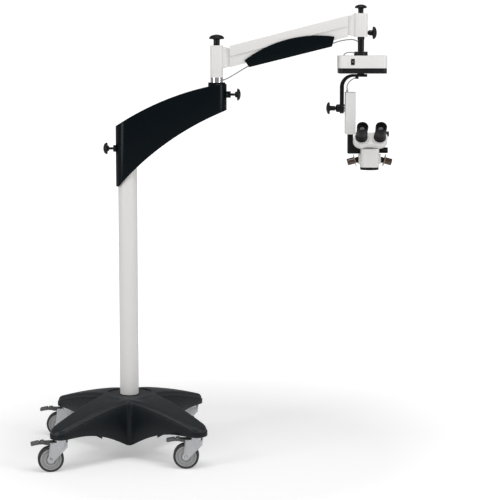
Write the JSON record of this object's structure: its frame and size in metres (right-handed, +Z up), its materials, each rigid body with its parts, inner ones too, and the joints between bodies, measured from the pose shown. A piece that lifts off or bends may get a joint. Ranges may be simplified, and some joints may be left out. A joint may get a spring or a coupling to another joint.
{
  "type": "stereo microscope on a wheeled stand",
  "caption": "Stereo microscope with inclined eyepieces and a lamp unit, hung from a balanced spring arm and a swing arm on a round column with a wheeled, four-legged base.",
  "frame": {"origin": "on the floor, under the middle of the whole object's footprint", "axes": "+Z up; +X from the column along the arm towards the microscope; the eyepieces face -Y"},
  "size_m": [1.4333, 0.6414, 1.79],
  "materials": {
    "charcoal_cover": "fine satin texture, moulded",
    "charcoal_skirt": "fine satin texture, moulded",
    "cast_iron": "painted casting",
    "white_paint": "powder coat, satin",
    "steel": "turned and ground",
    "black_plastic": "moulded, fine grain",
    "black_gloss": "moulded, semi-gloss",
    "zinc": "bright zinc plate, pressed",
    "grey_wheel": "soft tread on a grey nylon rim",
    "pedal_grey": "moulded nylon",
    "sail_black": "satin moulded cover",
    "grey_alu": "cast, blasted",
    "chrome": "polished",
    "spring_steel": "oiled",
    "lead_grey": "smooth jacket",
    "black_paint": "black anodised look, satin",
    "board_green": "laminate with aluminium fins",
    "lens_glass": "coated optical glass",
    "smoke_plastic": "smoky brown, semi-gloss",
    "black_rubber": "moulded rubber"
  },
  "bodies": {
    "root": {"base_cover": "charcoal_cover", "base_skirt": "charcoal_skirt", "base_frame": "cast_iron", "column_tube": "white_paint", "column_spindle": "steel", "mains_inlet": "black_plastic"},
    "castor_1": {"castor_fork_1": "zinc"},
    "wheel_1": {"castor_wheel_1": "grey_wheel"},
    "brake_1": {"castor_brake_1": "pedal_grey"},
    "castor_2": {"castor_fork_2": "zinc"},
    "wheel_2": {"castor_wheel_2": "grey_wheel"},
    "brake_2": {"castor_brake_2": "pedal_grey"},
    "castor_3": {"castor_fork_3": "zinc"},
    "wheel_3": {"castor_wheel_3": "grey_wheel"},
    "brake_3": {"castor_brake_3": "pedal_grey"},
    "castor_4": {"castor_fork_4": "zinc"},
    "wheel_4": {"castor_wheel_4": "grey_wheel"},
    "brake_4": {"castor_brake_4": "pedal_grey"},
    "swing_arm": {"swing_cover": "sail_black", "swing_beam": "grey_alu"},
    "swing_knob_rear": {"swing_knob_rear": "black_gloss"},
    "swing_knob_front": {"swing_knob_front": "black_gloss"},
    "bracket_1": {"bracket_1": "white_paint", "bracket_1_collar": "chrome", "bracket_1_pins": "steel"},
    "bracket_1_knob": {"bracket_1_knob": "black_gloss"},
    "lower_link": {"lower_link": "white_paint", "cable_cover": "sail_black", "balance_spring": "spring_steel", "arm_leads": "lead_grey"},
    "upper_link": {"upper_link": "white_paint"},
    "bracket_2": {"bracket_2": "white_paint", "bracket_2_pins": "steel", "spindle_sleeve": "black_paint"},
    "bracket_2_knob": {"bracket_2_knob": "black_gloss"},
    "side_knob": {"side_knob": "black_gloss"},
    "light_unit": {"light_case": "white_paint", "light_base": "black_plastic", "light_spindle": "black_paint", "lamp_module": "board_green", "light_lead": "lead_grey"},
    "light_switch": {"light_switch": "black_plastic"},
    "carrier": {"carrier_arm": "black_paint", "optics_lead": "lead_grey"},
    "tilt_knob": {"tilt_knob": "black_gloss"},
    "microscope": {"tilt_housing": "white_paint", "tilt_shaft": "steel", "optics_bracket": "black_paint", "optics_body": "white_paint"},
    "focus_ring": {"focus_ring": "black_paint", "objective_lens": "lens_glass"},
    "zoom_knob": {"zoom_knob": "black_plastic"},
    "handle_left": {"handle_left": "smoke_plastic"},
    "handle_right": {"handle_right": "smoke_plastic"},
    "binocular": {"binocular_body": "white_paint"},
    "ipd_knob": {"ipd_knob": "black_plastic"},
    "tube_left": {"tube_left": "black_paint"},
    "eyepiece_left": {"eyepiece_left": "black_rubber"},
    "tube_right": {"tube_right": "black_paint"},
    "eyepiece_right": {"eyepiece_right": "black_rubber"}
  },
  "joints": [
    {"name": "castor_1_swivel", "type": "hinge", "parent": "root", "child": "castor_1", "pos_m": [-0.57343, -0.27773, 0.128], "axis": [0, 0, 1], "continuous": true},
    {"name": "wheel_1_roll", "type": "hinge", "parent": "castor_1", "child": "wheel_1", "pos_m": [-0.61282, -0.28468, 0.05], "axis": [-0.1736, 0.9848, 0], "continuous": true},
    {"name": "brake_1_press", "type": "hinge", "parent": "castor_1", "child": "brake_1", "pos_m": [-0.60691, -0.28364, 0.112], "axis": [0.1736, -0.9848, 0], "range_deg": [0, 8]},
    {"name": "castor_2_swivel", "type": "hinge", "parent": "root", "child": "castor_2", "pos_m": [-0.05427, -0.24143, 0.128], "axis": [0, 0, 1], "continuous": true},
    {"name": "wheel_2_roll", "type": "hinge", "parent": "castor_2", "child": "wheel_2", "pos_m": [-0.09427, -0.24143, 0.05], "axis": [0, 1, 0], "continuous": true},
    {"name": "brake_2_press", "type": "hinge", "parent": "castor_2", "child": "brake_2", "pos_m": [-0.08827, -0.24143, 0.112], "axis": [0, -1, 0], "range_deg": [0, 8]},
    {"name": "castor_3_swivel", "type": "hinge", "parent": "root", "child": "castor_3", "pos_m": [-0.09057, 0.27773, 0.128], "axis": [0, 0, 1], "continuous": true},
    {"name": "wheel_3_roll", "type": "hinge", "parent": "castor_3", "child": "wheel_3", "pos_m": [-0.13057, 0.27773, 0.05], "axis": [0, 1, 0], "continuous": true},
    {"name": "brake_3_press", "type": "hinge", "parent": "castor_3", "child": "brake_3", "pos_m": [-0.12457, 0.27773, 0.112], "axis": [0, -1, 0], "range_deg": [0, 8]},
    {"name": "castor_4_swivel", "type": "hinge", "parent": "root", "child": "castor_4", "pos_m": [-0.60973, 0.24143, 0.128], "axis": [0, 0, 1], "continuous": true},
    {"name": "wheel_4_roll", "type": "hinge", "parent": "castor_4", "child": "wheel_4", "pos_m": [-0.64973, 0.24143, 0.05], "axis": [0, 1, 0], "continuous": true},
    {"name": "brake_4_press", "type": "hinge", "parent": "castor_4", "child": "brake_4", "pos_m": [-0.64373, 0.24143, 0.112], "axis": [0, -1, 0], "range_deg": [0, 8]},
    {"name": "swing_turn", "type": "hinge", "parent": "root", "child": "swing_arm", "pos_m": [-0.332, 0, 1.2], "axis": [0, 0, 1], "range_deg": [-160, 160]},
    {"name": "swing_knob_rear_turn", "type": "hinge", "parent": "swing_arm", "child": "swing_knob_rear", "pos_m": [-0.4046, 0, 1.2246], "axis": [-1, 0, 0], "range_deg": [0, 360]},
    {"name": "swing_knob_front_turn", "type": "hinge", "parent": "swing_arm", "child": "swing_knob_front", "pos_m": [0.0938, 0, 1.4373], "axis": [1, 0, 0], "range_deg": [0, 360]},
    {"name": "bracket_1_turn", "type": "hinge", "parent": "swing_arm", "child": "bracket_1", "pos_m": [0.022, 0, 1.485], "axis": [0, 0, 1], "range_deg": [-150, 150]},
    {"name": "bracket_1_knob_turn", "type": "hinge", "parent": "bracket_1", "child": "bracket_1_knob", "pos_m": [0.022, 0, 1.63], "axis": [0, 0, 1], "range_deg": [0, 360]},
    {"name": "arm_lift", "type": "hinge", "parent": "bracket_1", "child": "lower_link", "pos_m": [0.06, 0, 1.561], "axis": [0, -1, 0], "range_deg": [-40, 20], "deforming": ["arm_leads"]},
    {"name": "upper_link_turn", "type": "hinge", "parent": "bracket_1", "child": "upper_link", "pos_m": [0.06, 0, 1.605], "axis": [0, -1, 0], "range_deg": [-40, 20]},
    {"name": "bracket_2_level", "type": "hinge", "parent": "lower_link", "child": "bracket_2", "pos_m": [0.54913, 0, 1.68659], "axis": [0, -1, 0], "range_deg": [-20, 40]},
    {"name": "bracket_2_knob_turn", "type": "hinge", "parent": "bracket_2", "child": "bracket_2_knob", "pos_m": [0.5874, 0, 1.755], "axis": [0, 0, 1], "range_deg": [0, 360]},
    {"name": "side_knob_turn", "type": "hinge", "parent": "bracket_2", "child": "side_knob", "pos_m": [0.6199, 0, 1.6793], "axis": [1, 0, 0], "range_deg": [0, 360]},
    {"name": "light_unit_turn", "type": "hinge", "parent": "bracket_2", "child": "light_unit", "pos_m": [0.5888, 0, 1.606], "axis": [0, 0, 1], "range_deg": [-170, 170]},
    {"name": "light_switch_rock", "type": "hinge", "parent": "light_unit", "child": "light_switch", "pos_m": [0.5529, -0.0648, 1.5662], "axis": [1, 0, 0], "range_deg": [-10, 10]},
    {"name": "carrier_turn", "type": "hinge", "parent": "light_unit", "child": "carrier", "pos_m": [0.5888, 0, 1.52], "axis": [0, 0, 1], "range_deg": [-170, 170]},
    {"name": "tilt_knob_turn", "type": "hinge", "parent": "carrier", "child": "tilt_knob", "pos_m": [0.4886, 0, 1.3835], "axis": [-1, 0, 0], "range_deg": [0, 360]},
    {"name": "microscope_tilt", "type": "hinge", "parent": "carrier", "child": "microscope", "pos_m": [0.528, 0, 1.3835], "axis": [1, 0, 0], "range_deg": [-40, 50], "deforming": ["optics_lead"]},
    {"name": "focus_turn", "type": "hinge", "parent": "microscope", "child": "focus_ring", "pos_m": [0.623, -0.035, 1.155], "axis": [0, 0, 1], "range_deg": [-140, 140]},
    {"name": "zoom_turn", "type": "hinge", "parent": "microscope", "child": "zoom_knob", "pos_m": [0.6665, -0.035, 1.22], "axis": [1, 0, 0], "range_deg": [-120, 120]},
    {"name": "handle_left_turn", "type": "hinge", "parent": "microscope", "child": "handle_left", "pos_m": [0.5795, -0.035, 1.182], "axis": [-1, 0, 0], "range_deg": [-60, 60]},
    {"name": "handle_right_turn", "type": "hinge", "parent": "microscope", "child": "handle_right", "pos_m": [0.6665, -0.035, 1.182], "axis": [1, 0, 0], "range_deg": [-60, 60]},
    {"name": "binocular_tilt", "type": "hinge", "parent": "microscope", "child": "binocular", "pos_m": [0.623, -0.023, 1.2485], "axis": [-1, 0, 0], "range_deg": [0, 25]},
    {"name": "ipd_turn", "type": "hinge", "parent": "binocular", "child": "ipd_knob", "pos_m": [0.682, -0.0607, 1.2855], "axis": [1, 0, 0], "range_deg": [-20, 180]},
    {"name": "eye_distance_left", "type": "slide", "parent": "binocular", "child": "tube_left", "axis": [1, 0, 0], "range_m": [-0.001, 0.009]},
    {"name": "dioptre_left", "type": "hinge", "parent": "tube_left", "child": "eyepiece_left", "pos_m": [0.587, -0.0815, 1.2735], "axis": [0, -0.8192, 0.5736], "range_deg": [-120, 120]},
    {"name": "eye_distance_right", "type": "slide", "parent": "binocular", "child": "tube_right", "axis": [-1, 0, 0], "range_m": [-0.001, 0.009]},
    {"name": "dioptre_right", "type": "hinge", "parent": "tube_right", "child": "eyepiece_right", "pos_m": [0.659, -0.0815, 1.2735], "axis": [0, -0.8192, 0.5736], "range_deg": [-120, 120]}
  ],
  "couplings": [
    {"joint": "upper_link_turn", "follows": "arm_lift", "ratio": 1},
    {"joint": "bracket_2_level", "follows": "arm_lift", "ratio": -1},
    {"joint": "eye_distance_right", "follows": "eye_distance_left", "ratio": 1},
    {"joint": "ipd_turn", "follows": "eye_distance_left", "rad_per_m": 349.06}
  ]
}
